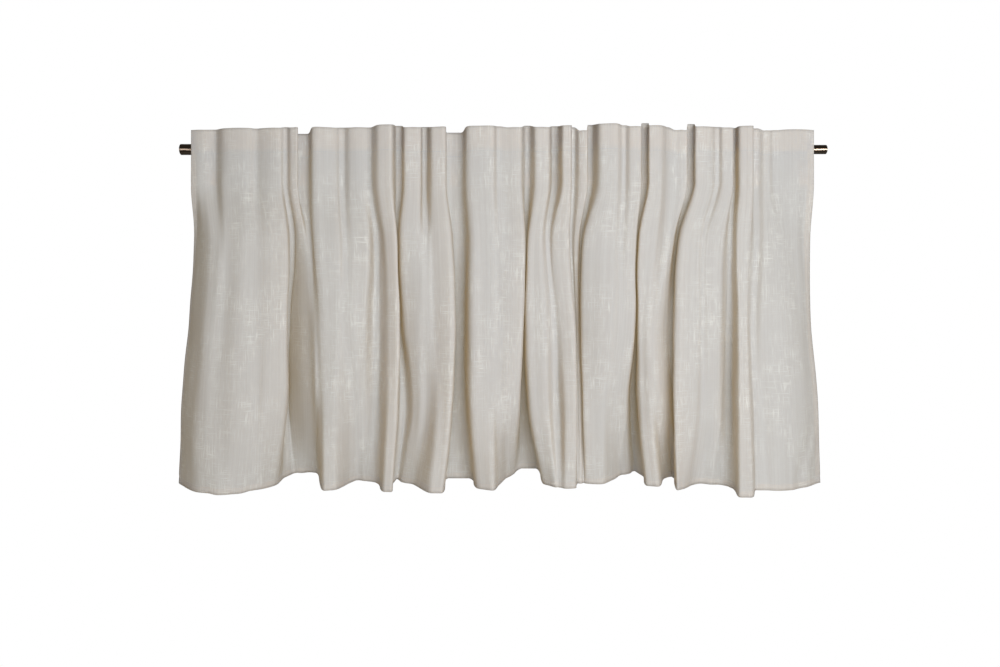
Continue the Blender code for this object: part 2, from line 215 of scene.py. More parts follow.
# The bottom edge.
HEM = (
    Fold("a", -547, 46, 0, -541, 54, -495, 102),
    Fold("b", -478, 107, 3, -462, 109, -426, 102),
    Fold("b2", -409, 92, 6, -396, 83, -380, 60),
    Fold("b3", -372, 6, 8, -360, -6, -341, -8),
    Fold("c", -326, -4, 5, -293, 92, -274, 86),
    Fold("d", -256, 40, 8, -246, 30, -232, 34),
    Fold("e", -213, 48, 5, -195, 98, -181, 100),
    Fold("f", -185, 40, 4, -174, 38, -155, 52),
    Fold("g", -144, 66, 5, -119, 106, -98, 106),
    Fold("h", -77, 16, 36, -44, 78, -17, 92),
    Fold("i", -7, 56, 3, 4, 16, 15, -4),
    Fold("j", 45, -20, 26, 66, 50, 86, 72),
    Fold("k", 93, 74, 4, 101, 80, 119, 78),
    Fold("k2", 125, 48, 2, 128, 49, 131, 49),
    Fold("l", 135, 46, 2, 138, 50, 168, 52),
    Fold("l2", 187, 26, 6, 204, 4, 222, -6),
    Fold("m", 237, -4, 8, 237, 62, 257, 68),
    Fold("n", 275, 22, 4, 286, 8, 292, 4),
    Fold("o", 297, 8, 3, 283, 90, 302, 74),
    Fold("p", 316, 58, 6, 332, 50, 361, 58),
    Fold("q", 375, 74, 4, 377, 112, 399, 112),
    Fold("r", 413, 90, 4, 431, 90, 456, 92),
    Fold("s", 472, 88, 2, 486, 80, 522, 52),
    Fold("edge", 535, 43, 0, 0, 0, 0, 0),
)

# How much higher the cloth stands at the gap before a fold and at its front, first at the top edge,
# fading out below it, and then at the bottom edge, fading out above it.
Lift = collections.namedtuple("Lift", "name at_gap at_front")
TOP_LIFTS = (
    Lift("b", 1, 0),
    Lift("b3", 2, 0),
    Lift("c", -6, 0),
    Lift("d", 1.5, 0),
    Lift("f", 7, -1),
    Lift("g", 5, 0),
    Lift("h", -4, 0.5),
    Lift("i", 1.5, -0.5),
    Lift("j", 7, -0.5),
    Lift("k", 6, 0.5),
    Lift("k2", 5, -3),
    Lift("l", 9, 4),
    Lift("l2", 3, 0),
    Lift("m", 10, 1.5),
    Lift("n", 1, -2.5),
    Lift("o", 9, 0.5),
    Lift("p", 1.5, -0.5),
    Lift("q", 3, 1.5),
    Lift("r", 3, -1.5),
    Lift("s", 0, 1),
)
HEM_LIFTS = (
    Lift("b", 0, -2),
    Lift("b3", 2, 4),
    Lift("c", 3, 0),
    Lift("j", 8, 0),
    Lift("l2", 0, 3),
    Lift("m", 3, 0),
    Lift("q", 0, -5),
)

LEVELS = (
    (0.0, HEADING),
    (HEADING_FOOT, HEADING),
    (190.0, UPPER),
    (330.0, LOWER),
    (470.0, LOWEST),
    (DROP, HEM),
)

# Soft creases in the cloth, pressed in (minus) or raised. Each lies on a fold: at and to say how
# far across it, from 0 at the gap on its left to 1 at the gap on its right, where the crease starts
# and where it ends. start and end are measured down from the top edge. Each end fades over
# CREASE_FADE of the crease's length.
Crease = collections.namedtuple("Crease", "fold at to start end width depth")
CREASES = (
    Crease("b", 0.30, 0.28, 60, 240, 8, 1.5),
    Crease("b", 0.50, 0.46, 30, 320, 12, -1.5),
    Crease("b", 0.66, 0.60, 60, 460, 19, 1.4),
    Crease("b", 0.42, 0.36, 180, 590, 24, -1.5),
    Crease("c", 0.62, 0.52, 60, 480, 12, -1.5),
    Crease("c", 0.42, 0.40, 120, 560, 14, 1.4),
    Crease("d", 0.60, 0.50, 80, 380, 11, -1.3),
    Crease("e", 0.72, 0.70, 100, 560, 8, 1.3),
    Crease("f", 0.50, 0.56, 90, 420, 12, -0.8),
    Crease("g", 0.42, 0.50, 100, 540, 16, -0.9),
    Crease("g", 0.74, 0.76, 140, 560, 9, 1.3),
    Crease("h", 0.62, 0.66, 60, 520, 12, -1.4),
    Crease("h", 0.40, 0.42, 120, 560, 12, 1.3),
    Crease("i", 0.60, 0.52, 90, 430, 12, -1.2),
    Crease("j", 0.52, 0.50, 110, 500, 11, -1.3),
    Crease("k", 0.70, 0.64, 120, 560, 11, 1.2),
    Crease("l", 0.45, 0.40, 90, 560, 16, -1.5),
    Crease("l", 0.66, 0.72, 100, 460, 14, 1.4),
    Crease("l2", 0.55, 0.50, 90, 360, 9, -1.1),
    Crease("m", 0.50, 0.56, 100, 500, 11, -1.3),
    Crease("o", 0.46, 0.40, 90, 560, 12, 1.5),
    Crease("o", 0.64, 0.66, 120, 590, 14, -1.5),
    Crease("p", 0.50, 0.56, 90, 560, 11, -1.1),
    Crease("q", 0.55, 0.50, 140, 560, 9, -1.1),
    Crease("r", 0.45, 0.50, 120, 590, 19, -1.9),
    Crease("r", 0.75, 0.72, 90, 590, 16, 1.7),
    Crease("s", 0.60, 0.50, 60, 420, 16, -1.1),
    Crease("s", 0.85, 0.25, 500, 600, 12, -2.1),
    Crease("s", 0.95, 0.45, 500, 600, 12, 1.5),
)

CREASE_FADE = 0.25

# The cloth's own unevenness as a few long waves: their lengths across and down it, size and start.
Wave = collections.namedtuple("Wave", "across down size start")
WAVES = (
    Wave(61, 410, 0.35, 0.3),
    Wave(37, 260, 0.25, 1.9),
    Wave(97, 180, 0.40, 4.1),
    Wave(23, 700, 0.16, 2.6),
    Wave(143, 95, 0.35, 5.2),
)

# What each seam does to the cloth beside it: how far down its middle lies, the width of the soft
# band that it changes, and how far it raises or presses in (minus) the cloth.
Seam = collections.namedtuple("Seam", "drop width rise")
HEADING_SEAM = Seam(HEADING_TURN, 2.6, -0.7)
HEADING_PUCKER = Seam(HEADING_TURN, 13.0, 0.5)
FOOT_SEAM = Seam(HEADING_FOOT, 2.4, -0.6)
HEM_SEAM = Seam(DROP - HEM_TURN, 2.2, -0.45)
HEM_PUCKER = Seam(DROP, 16.0, 0.35)
GATHER = 13.0

# The loops are sewn close behind the heading, so down to LOOP_FOOT the cloth is pressed in by no
# more than LOOP_ROOM.
LOOP_FOOT = 107.0
LOOP_ROOM = 0.3

LOOPS = tuple(f"loop_{number:02d}" for number in range(1, 14))

# The studio in metres and pixels.
FRAME_WIDTH = 1000.0
FRAME_HEIGHT = 667.0
SENSOR_MM = 36.0
FLOOR_SIZE = (2.6, 1.9, 1.0)
FLOOR_PLACE = (0.0, -0.35, -1.65)
LIT_PLACE = (0.0, 0.0, -0.15)

# power names the property with the watts of the light.
Light = collections.namedtuple("Light", "name power place width height shade")
LIGHTS = (
    Light("front_box", "key", (0.40, -2.0, 0.1), 1.0, 1.0, "f8fcff"),
    Light("right_strip", "right", (1.24, -1.7, -0.26), 0.06, 1.0, "fffdfb"),
    Light("left_strip", "left", (-1.23, -1.7, -0.26), 0.04, 1.0, "fffdfb"),
)


class ClothSizes(bpy.types.PropertyGroup):
    """Sizes and colours of the cloth."""

    thread: bpy.props.FloatProperty(
        name="Thread spacing",
        description="Distance between drawn slub threads",
        default=1.5 * MM,
        unit="LENGTH",
    )
    slub: bpy.props.FloatProperty(
        name="Slub length",
        description="Usual length of a thick place in a thread",
        default=26 * MM,
        unit="LENGTH",
    )
    row: bpy.props.FloatProperty(
        name="Row height",
        description="Height of one row of faces down the cloth",
        default=5.2 * MM,
        unit="LENGTH",
    )
    stitch: bpy.props.FloatProperty(
        name="Stitch length",
        description="Length of one machine stitch",
        default=3.2 * MM,
        unit="LENGTH",
    )
    shade: bpy.props.StringProperty(
        name="Cloth colour",
        description="sRGB hex value of the ground of the cloth",
        default="e1e2e4",
    )
    dim: bpy.props.StringProperty(
        name="Stripe colour",
        description="sRGB hex value of the duller warp threads",
        default="dadadc",
    )
    through: bpy.props.StringProperty(
        name="Shine-through colour",
        description="sRGB hex value of light come through the cloth",
        default="f0d48c",
    )
    slub_shade: bpy.props.StringProperty(
        name="Slub colour",
        description="sRGB hex value of the thick threads",
        default="efefeb",
    )


class RodSizes(bpy.types.PropertyGroup):
    """Sizes and colours of the rod."""

    half: bpy.props.FloatProperty(
        name="Half length",
        description="From the middle to either end",
        default=562 * MM,
        unit="LENGTH",
    )
    outer: bpy.props.FloatProperty(
        name="Outer radius",
        description="Radius of the thicker tube",
        default=9.5 * MM,
        unit="LENGTH",
    )
    inner: bpy.props.FloatProperty(
        name="Inner radius",
        description="Radius of the thinner tube",
        default=8.0 * MM,
        unit="LENGTH",
    )
    outer_end: bpy.props.FloatProperty(
        name="End of the outer tube",
        description="Where the thicker tube stops",
        default=45 * MM,
        unit="LENGTH",
    )
    inner_start: bpy.props.FloatProperty(
        name="Start of the inner tube",
        description="Where the thinner tube starts",
        default=-90 * MM,
        unit="LENGTH",
    )
    shade: bpy.props.StringProperty(
        name="Metal colour",
        description="sRGB hex value of the metal",
        default="564c43",
    )


class StudioSizes(bpy.types.PropertyGroup):
    """Camera and light of the studio."""

    distance: bpy.props.FloatProperty(
        name="Camera distance",
        description="From the camera to the rod",
        default=1.375,
        unit="LENGTH",
    )
    height: bpy.props.FloatProperty(
        name="Camera height",
        description="Above the rod's axis",
        default=-0.210,
        unit="LENGTH",
    )
    side: bpy.props.FloatProperty(
        name="Camera side",
        description="To the right of the middle",
        default=-0.006,
        unit="LENGTH",
    )
    pixels: bpy.props.FloatProperty(
        name="Focal length",
        description="In pixels of the 1000 by 667 frame",
        default=788.7,
    )
    horizon: bpy.props.FloatProperty(
        name="Eye level",
        description="Height of the horizon in the frame, in pixels from its top",
        default=270.0,
    )
    key: bpy.props.FloatProperty(
        name="Front light",
        description="Power of the front light, in watts",
        default=37.5,
    )
    right: bpy.props.FloatProperty(
        name="Right light",
        description="Power of the right light, in watts",
        default=6.5,
    )
    left: bpy.props.FloatProperty(
        name="Left light",
        description="Power of the left light, in watts",
        default=1.5,
    )
    fill: bpy.props.FloatProperty(
        name="Surroundings",
        description="Brightness of the light all round",
        default=0.18,
    )


def colour(text):
    """An sRGB hex value as linear red, green, blue and alpha."""
    parts = [int(text[i : i + 2], 16) / 255 for i in (0, 2, 4)]
    linear = [c / 12.92 if c <= 0.04045 else ((c + 0.055) / 1.055) ** 2.4 for c in parts]
    return (*linear, 1.0)


def add(tree, kind, links=None, **settings):
    """A node with its settings and links: links names inputs, each with a socket or a value."""
    made = tree.nodes.new(kind)
    for name, value in settings.items():
        setattr(made, name, value)
    for name, source in (links or {}).items():
        target = made.inputs[name]
        if isinstance(source, bpy.types.NodeSocket):
            tree.links.new(source, target)
        else:
            target.default_value = source
    return made


def new_material(name):
    made = bpy.data.materials.new(name)
    made.use_nodes = True
    made.node_tree.nodes.clear()
    return made, made.node_tree


def threads(tree, place, across, along, low, high):
    """Thick places of the threads that run one way: a noise drawn out along them."""
    size = (1 / across, 1 / along, 1.0)
    scaled = add(tree, "ShaderNodeMapping", {"Vector": place, "Scale": size})
    noise = add(
        tree,
        "ShaderNodeTexNoise",
        {"Vector": scaled.outputs[0], "Scale": 1.0, "Detail": 2.0, "Roughness": 0.55},
        noise_dimensions="2D",
    )
    thick = add(
        tree,
        "ShaderNodeMapRange",
        {"Value": noise.outputs[0], "From Min": low, "From Max": high},
        clamp=True,
    )
    return thick.outputs[0]


def slub_cloth(sizes):
    """Plain-woven linen-look slub cloth: matt, and thin enough for light to come through warmer
    than it went in, so that its deep folds glow yellow instead of turning grey. Thicker lengths of
    thread run both ways in clusters and look paler. The true weave, about 0.8 mm, is too fine to
    show, so it is drawn nearly twice as coarse."""
    made, tree = new_material("woven_slub_linen")
    place = add(tree, "ShaderNodeUVMap", uv_map="cloth_metres").outputs[0]
    warp = threads(tree, place, sizes.thread, sizes.slub, 0.54, 0.72)
    weft = threads(tree, place, sizes.slub, sizes.thread, 0.56, 0.74)
    either = add(tree, "ShaderNodeMath", {0: warp, 1: weft}, operation="MAXIMUM")
    region = add(tree, "ShaderNodeMapping", {"Vector": place, "Scale": (18.0, 11.0, 1.0)})
    region = add(
        tree,
        "ShaderNodeTexNoise",
        {"Vector": region.outputs[0], "Scale": 1.0, "Detail": 2.0},
        noise_dimensions="2D",
    )
    cluster = add(
        tree,
        "ShaderNodeMapRange",
        {
            "Value": region.outputs[0],
            "From Min": 0.36,
            "From Max": 0.64,
            "To Min": 0.15,
            "To Max": 1.0,
        },
        clamp=True,
    )
    slubs = add(
        tree,
        "ShaderNodeMath",
        {0: either.outputs[0], 1: cluster.outputs[0]},
        operation="MULTIPLY",
    )
    # Whole warp threads differ a little, which gives the long faint stripes down the cloth.
    stripes = threads(tree, place, 2.6 * MM, 420 * MM, 0.30, 0.70)
    base = add(
        tree,
        "ShaderNodeMix",
        {0: stripes, 6: colour(sizes.dim), 7: colour(sizes.shade)},
        data_type="RGBA",
    )
    ground = add(
        tree,
        "ShaderNodeMix",
        {0: slubs.outputs[0], 6: base.outputs[2], 7: colour(sizes.slub_shade)},
        data_type="RGBA",
    )
    bump = add(
        tree,
        "ShaderNodeBump",
        {"Strength": 0.3, "Distance": 0.4 * MM, "Height": slubs.outputs[0]},
    )
    face = add(
        tree,
        "ShaderNodeBsdfPrincipled",
        {
            "Base Color": ground.outputs[2],
            "Roughness": 0.92,
            "Specular IOR Level": 0.25,
            "Sheen Weight": 0.08,
            "Normal": bump.outputs[0],
        },
    )
    behind = add(tree, "ShaderNodeBsdfTranslucent", {"Color": colour(sizes.through)})
    # Slubs are thicker and let less light through.
    share = add(
        tree,
        "ShaderNodeMapRange",
        {"Value": slubs.outputs[0], "To Min": 0.40, "To Max": 0.26},
        clamp=True,
    )
    cloth = add(
        tree,
        "ShaderNodeMixShader",
        {0: share.outputs[0], 1: face.outputs[0], 2: behind.outputs[0]},
    )
    add(tree, "ShaderNodeOutputMaterial", {"Surface": cloth.outputs[0]})
    return made


def sewing_thread():
    """Twisted polyester sewing thread, spun: a slight gloss on a colour close to the cloth."""
    made, tree = new_material("spun_sewing_thread")
    place = add(tree, "ShaderNodeTexCoord").outputs["Object"]
    twist = add(tree, "ShaderNodeTexWave", {"Vector": place, "Scale": 900.0, "Distortion": 1.0})
    shade = add(
        tree,
        "ShaderNodeMix",
        {0: twist.outputs[1], 6: colour("c9c3b8"), 7: colour("e0dbd2")},
        data_type="RGBA",
    )
    thread = add(
        tree,
        "ShaderNodeBsdfPrincipled",
        {"Base Color": shade.outputs[2], "Roughness": 0.6},
    )
    add(tree, "ShaderNodeOutputMaterial", {"Surface": thread.outputs[0]})
    return made


def loop_tape():
    """Narrow woven cotton tape: flat and matt, with a rib across the strip every 1.3 mm."""
    made, tree = new_material("woven_cotton_tape")
    place = add(tree, "ShaderNodeTexCoord").outputs["Object"]
    ribs = add(
        tree,
        "ShaderNodeTexWave",
        {"Vector": place, "Scale": math.pi / 10 / (1.3 * MM), "Distortion": 0.6, "Detail": 1.0},
        bands_direction="Z",
    )
    shade = add(
        tree,
        "ShaderNodeMix",
        {0: ribs.outputs[1], 6: colour("c6bfb2"), 7: colour("dfdbd1")},
        data_type="RGBA",
    )
    bump = add(
        tree,
        "ShaderNodeBump",
        {"Strength": 0.5, "Distance": 0.3 * MM, "Height": ribs.outputs[1]},
    )
    tape = add(
        tree,
        "ShaderNodeBsdfPrincipled",
        {"Base Color": shade.outputs[2], "Roughness": 0.88, "Normal": bump.outputs[0]},
    )
    add(tree, "ShaderNodeOutputMaterial", {"Surface": tape.outputs[0]})
    return made


def nickel_plate(sizes):
    """Drawn steel tube with black nickel plate, polished along its length: nearly black beside each
    sharp highlight, with fine drawing lines that widen the highlight a little round the tube."""
    made, tree = new_material("black_nickel_plate")
    place = add(tree, "ShaderNodeTexCoord").outputs["Object"]
    drawn = add(tree, "ShaderNodeMapping", {"Vector": place, "Scale": (0.5, 900.0, 900.0)})
    lines = add(
        tree,
        "ShaderNodeTexNoise",
        {"Vector": drawn.outputs[0], "Scale": 1.0, "Detail": 3.0},
    )
    rough = add(
        tree,
        "ShaderNodeMapRange",
        {
            "Value": lines.outputs[0],
            "From Min": 0.3,
            "From Max": 0.7,
            "To Min": 0.07,
            "To Max": 0.12,
        },
        clamp=True,
    )
    bump = add(
        tree,
        "ShaderNodeBump",
        {"Strength": 0.01, "Distance": 0.1 * MM, "Height": lines.outputs[0]},
    )
    metal = add(
        tree,
        "ShaderNodeBsdfPrincipled",
        {
            "Base Color": colour(sizes.shade),
            "Metallic": 1.0,
            "Roughness": rough.outputs[0],
            "Normal": bump.outputs[0],
        },
    )
    add(tree, "ShaderNodeOutputMaterial", {"Surface": metal.outputs[0]})
    return made


def studio_paint():
    """Matt white studio paint: even and pale, with a faint roller texture."""
    made, tree = new_material("matt_studio_paint")
    place = add(tree, "ShaderNodeTexCoord").outputs["Object"]
    roller = add(tree, "ShaderNodeTexNoise", {"Vector": place, "Scale": 60.0, "Detail": 2.0})
    bump = add(
        tree,
        "ShaderNodeBump",
        {"Strength": 0.05, "Distance": 0.5 * MM, "Height": roller.outputs[0]},
    )
    paint = add(
        tree,
        "ShaderNodeBsdfPrincipled",
        {"Base Color": colour("eeedeb"), "Roughness": 0.8, "Normal": bump.outputs[0]},
    )
    add(tree, "ShaderNodeOutputMaterial", {"Surface": paint.outputs[0]})
    return made


def key_points(folds, lifts):
    """The plan of the cloth at one height: x, out and lift at the bends, how many steps follow each
    one, and each bend's place counted in folds from the left edge."""
    named = {lift.name: lift for lift in lifts}
    points, steps, places = [], [], []
    for number, fold in enumerate(folds[:-1]):
        lift = named.get(fold.name, Lift("", 0, 0))
        rise = 0.0
        if points:
            # Where the cloth only slopes on through a gap, the bottom of the gap slopes with it.
            before = folds[number - 1]
            low, high = sorted((before.right_out, fold.left_out))
            if low < fold.gap_out < high:
                forward = fold.left_out - before.right_out
                rise = fold.floor / 2 * forward / (fold.left - before.right)
            points.append((fold.gap_x - fold.floor / 2, fold.gap_out - rise, lift.at_gap))
            steps.append(1)
            places.append(number)
        points.append((fold.gap_x + fold.floor / 2, fold.gap_out + rise, lift.at_gap))
        crown = min(CROWN, CROWN_SHARE * abs(fold.right - fold.left))
        middle = (fold.left_out + fold.right_out) / 2 + crown
        points.append((fold.left, fold.left_out, lift.at_front))
        points.append(((fold.left + fold.right) / 2, middle, lift.at_front))
        points.append((fold.right, fold.right_out, lift.at_front))
        steps += [SIDE_STEPS, FRONT_STEPS, FRONT_STEPS, SIDE_STEPS]
        places += [number + share for share in BENDS]
    edge = folds[-1]
    points.append((edge.gap_x, edge.gap_out, 0))
    places.append(len(folds) - 1)
    return np.array(points, float), steps, np.array(places, float)


def between(t, start, leaving, end, arriving):
    """The point a share t of the way on a cubic curve with these end points and directions."""
    return (
        (2 * t**3 - 3 * t**2 + 1) * start
        + (t**3 - 2 * t**2 + t) * leaving
        + (3 * t**2 - 2 * t**3) * end
        + (t**3 - t**2) * arriving
    )


def smooth_line(points, steps, places):
    """A centripetal Catmull-Rom curve through the points, with the given steps after each one, and
    the places of its own points."""
    ends = np.vstack([2 * points[0] - points[1], points, 2 * points[-1] - points[-2]])
    gaps = np.maximum(np.sqrt(np.linalg.norm(np.diff(ends[:, :2], axis=0), axis=1)), 1e-3)
    line, at = [], []
    for index, count in enumerate(steps):
        p0, p1, p2, p3 = ends[index : index + 4]
        d0, d1, d2 = gaps[index : index + 3]
        slope_in = (p1 - p0) / d0 - (p2 - p0) / (d0 + d1) + (p2 - p1) / d1
        slope_out = (p2 - p1) / d1 - (p3 - p1) / (d1 + d2) + (p3 - p2) / d2
        for step in range(count):
            t = step / count
            line.append(between(t, p1, d1 * slope_in, p2, d1 * slope_out))
            at.append(places[index] * (1 - t) + places[index + 1] * t)
    line.append(points[-1])
    at.append(places[-1])
    return np.array(line), np.array(at)


def ease(value):
    value = np.clip(value, 0.0, 1.0)
    return value * value * (3 - 2 * value)


def cloth_section(plans, drop):
    """x, out and z across the cloth at one distance below its top edge."""
    drops = [level[0] for level in LEVELS]
    after = min(max(1, int(np.searchsorted(drops, drop))), len(drops) - 1)
    before = after - 1
    span = drops[after] - drops[before]
    t = (drop - drops[before]) / span

    def slope(index):
        if index == 1:
            return FIRST_SLOPE * (plans[2] - plans[1]) / (drops[2] - drops[1])
        if index == len(drops) - 1:
            return (plans[-1] - plans[-2]) / (drops[-1] - drops[-2])
        return (plans[index + 1] - plans[index - 1]) / (drops[index + 1] - drops[index - 1])

    if before == 0:
        plan = plans[0].copy()
    else:
        plan = between(t, plans[before], span * slope(before), plans[after], span * slope(after))
    from_top = ease(1.0 - drop / LIFT_FADE)
    from_hem = ease(1.0 - (DROP - drop) / HEM_LIFT_FADE)
    plan[:, 2] = TOP_Z - drop + plans[0][:, 2] * from_top + plans[-1][:, 2] * from_hem
    return plan


def wander(across, down):
    """The cloth's own soft unevenness."""
    total = np.zeros(np.broadcast(across, down).shape)
    for wave in WAVES:
        total += (
            wave.size
            * np.sin(2 * math.pi * across / wave.across + wave.start)
            * np.cos(2 * math.pi * down / wave.down + 1.7 * wave.start)
        )
    return total


def seam_rise(seam, down):
    return seam.rise * np.exp(-(((down - seam.drop) / seam.width) ** 2))


def relief(at, flat, drops):
    """How far the cloth stands off its main folds, in mm: creases, the pucker of its seams and its
    own unevenness."""
    across, down = flat[None, :], drops[:, None]
    # The stiff heading is smoother than the cloth below it.
    height = wander(across, down) * (0.4 + 0.6 * ease((down - HEADING_TURN) / 120))
    order = {fold.name: number for number, fold in enumerate(HEADING)}
    for crease in CREASES:
        along = (down - crease.start) / (crease.end - crease.start)
        place = order[crease.fold] + crease.at + (crease.to - crease.at) * np.clip(along, 0, 1)
        centre = np.interp(place, at, flat)
        ends = ease(along / CREASE_FADE) * ease((1 - along) / CREASE_FADE)
        height += crease.depth * ends * np.exp(-(((across - centre) / crease.width) ** 2))
    # Small gathers follow one another along a seam, at uneven distances of about GATHER.
    gathers = 0.6 + 0.4 * np.sin(2 * math.pi * across / GATHER + 2.0 * np.sin(across / 31.0))
    height += seam_rise(HEADING_SEAM, down) * (0.5 + 0.5 * gathers)
    height += seam_rise(HEADING_PUCKER, down) * (gathers - 0.6)
    height += seam_rise(FOOT_SEAM, down) * ease(np.sin(across / 19.0 + 0.7) * 1.5)
    height += seam_rise(HEM_SEAM, down)
    height += seam_rise(HEM_PUCKER, down) * np.sin(across / 7.3 + np.sin(across / 23.0))
    return np.maximum(height, np.where(down < LOOP_FOOT, -LOOP_ROOM, -math.inf))


def normals_of(grid):
    across = np.gradient(grid, axis=1)
    down = np.gradient(grid, axis=0)
    normal = np.cross(down, across)
    return normal / np.maximum(np.linalg.norm(normal, axis=2, keepdims=True), 1e-9)


def cloth_grid(sizes):
    """The cloth's middle surface in mm: its points and outward directions, and the flat places of
    its columns and the drops of its rows."""
    lines = [
        smooth_line(*key_points(folds, HEM_LIFTS if drop == DROP else TOP_LIFTS))
        for drop, folds in LEVELS
    ]
    at = lines[0][1]
    plans = [line[0] for line in lines]
    steps = [np.linalg.norm(np.diff(plan[:, :2], axis=0), axis=1) for plan in plans[1:]]
    flat = np.concatenate([[0.0], np.cumsum(np.mean(steps, axis=0))])
    rows = int(round(DROP * MM / sizes.row))
    drops = np.linspace(0.0, DROP, rows + 1)
    grid = np.array([cloth_section(plans, drop) for drop in drops])
    grid[:, :, 1] *= -1
    normal = normals_of(grid)
    grid = grid + normal * relief(at, flat, drops)[:, :, None]
    return grid, normals_of(grid), flat, drops


def turned(values, low, high):
    """The lines along one side of the cloth with its turned edges: index, layer and flat place."""
    first, last = values[0], values[-1]
    before = [i for i, value in enumerate(values) if 0 < value - first <= low]
    after = [i for i, value in enumerate(values) if 0 < last - value <= high]
    lines = [(i, 1.0, 2 * first - values[i]) for i in reversed(before)]
    lines.append((0, 0.5, first - EDGE_ROUND))
    lines += [(i, 0.0, value) for i, value in enumerate(values)]
    lines.append((len(values) - 1, 0.5, last + EDGE_ROUND))
    lines += [(i, 1.0, 2 * last - values[i]) for i in reversed(after)]
    return lines


def make_cloth(sizes):
    grid, normal, flat, drops = cloth_grid(sizes)
    row_index, row_layer, row_drop = zip(*turned(drops, HEADING_TURN, HEM_TURN))
    column_index, column_layer, column_flat = zip(*turned(flat, SIDE_REACH, SIDE_REACH))
    pick = np.ix_(row_index, column_index)
    behind = LAYER_GAP * np.add.outer(row_layer, column_layer)
    points = grid[pick] - normal[pick] * behind[:, :, None]
    tall, wide = points.shape[:2]
    mesh = bpy.data.meshes.new("valance_cloth")
    faces = [
        (r * wide + c, (r + 1) * wide + c, (r + 1) * wide + c + 1, r * wide + c + 1)
        for r in range(tall - 1)
        for c in range(wide - 1)
    ]
    mesh.from_pydata((points.reshape(-1, 3) * MM).tolist(), [], faces)
    uv = mesh.uv_layers.new(name="cloth_metres")
    flat_u, flat_v = np.meshgrid(np.array(column_flat) * MM, -np.array(row_drop) * MM)
    place = np.stack((flat_u, flat_v), axis=2).reshape(-1, 2)
    corner = np.empty(len(mesh.loops), np.int32)
    mesh.loops.foreach_get("vertex_index", corner)
    uv.data.foreach_set("uv", place[corner].astype(np.float32).ravel())
    mesh.shade_smooth()
    mesh.materials.append(slub_cloth(sizes))
    cloth = bpy.data.objects.new("valance_cloth", mesh)
    bpy.context.scene.collection.objects.link(cloth)
    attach(cloth, "root")
    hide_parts("panel")
    return cloth, grid, normal, flat, drops


def stitch_row(curve, points, normals, length):
    """Adds one machine stitch after another along a line of points, each a short raised thread."""
    gone = np.concatenate([[0.0], np.cumsum(np.linalg.norm(np.diff(points, axis=0), axis=1))])
    for number in range(int(gone[-1] / length)):
        spline = curve.splines.new("POLY")
        spline.points.add(len(STITCH_SHOWN) - 1)
        for point, share, rise in zip(spline.points, STITCH_SHOWN, STITCH_RISE):
            stop = (number + share) * length
            place = np.array([np.interp(stop, gone, points[:, axis]) for axis in range(3)])
            out = np.array([np.interp(stop, gone, normals[:, axis]) for axis in range(3)])
            point.co = (*((place + out * rise) * MM), 1.0)


def make_stitches(name, lines, length):
    curve = bpy.data.curves.new(name, "CURVE")
    curve.dimensions = "3D"
    curve.bevel_depth = THREAD_RADIUS * MM
    curve.bevel_resolution = 0
    curve.use_fill_caps = True
    for points, normals in lines:
        stitch_row(curve, points, normals, length)
    made = bpy.data.objects.new(name, curve)
    bpy.context.scene.collection.objects.link(made)
    deselect()
    made.select_set(True)
    bpy.context.view_layer.objects.active = made
    bpy.ops.object.convert(target="MESH")
    made.data.materials.clear()
    made.data.materials.append(sewing_thread())
    made.data.shade_smooth()
    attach(made, "root")
    return made


def deselect():
    for item in bpy.context.selected_objects:
        item.select_set(False)
    bpy.context.view_layer.objects.active = None


def select_faces(shape, test):
    for face in shape.faces:
        face.select_set(bool(test(face)))
    shape.select_flush_mode()


def make_tube(name, radius, closed_x, open_x, look, node):
    """A closed tube with a softened rim and a faint ring pressed in just inside it, along X."""
    deselect()
    bpy.ops.mesh.primitive_cylinder_add(
        vertices=96,
        radius=radius,
        depth=abs(open_x - closed_x),
        location=((closed_x + open_x) / 2, 0, 0),
        rotation=(0, math.pi / 2, 0),
    )
    tube = bpy.context.active_object
    tube.name = name
    bpy.ops.object.transform_apply(location=True, rotation=True, scale=True)
    outward = math.copysign(1.0, closed_x - open_x)
    bpy.ops.object.mode_set(mode="EDIT")
    for inset, depth in END_RING:
        shape = bmesh.from_edit_mesh(tube.data)
        select_faces(shape, lambda face: face.normal.x * outward > 0.9 and len(face.verts) > 4)
        bmesh.update_edit_mesh(tube.data)
        bpy.ops.mesh.inset(thickness=inset * MM, depth=depth * MM)
    bpy.ops.mesh.select_all(action="DESELECT")
    bpy.ops.object.mode_set(mode="OBJECT")
    rim = tube.modifiers.new("Rim", "BEVEL")
    rim.width = RIM * MM
    rim.segments = 3
    rim.limit_method = "ANGLE"
    rim.angle_limit = math.radians(50)
    bpy.ops.object.modifier_apply(modifier=rim.name)
    bpy.ops.object.shade_smooth_by_angle(angle=math.radians(35))
    # The long faces keep their own direction up to the rim, so the highlight runs straight.
    even = tube.modifiers.new("Even", "WEIGHTED_NORMAL")
    even.keep_sharp = True
    bpy.ops.object.modifier_apply(modifier=even.name)
    tube.data.materials.clear()
    tube.data.materials.append(look)
    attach(tube, "root")
    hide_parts(node)
    return tube


def nearest(values, value):
    return int(np.abs(values - value).argmin())


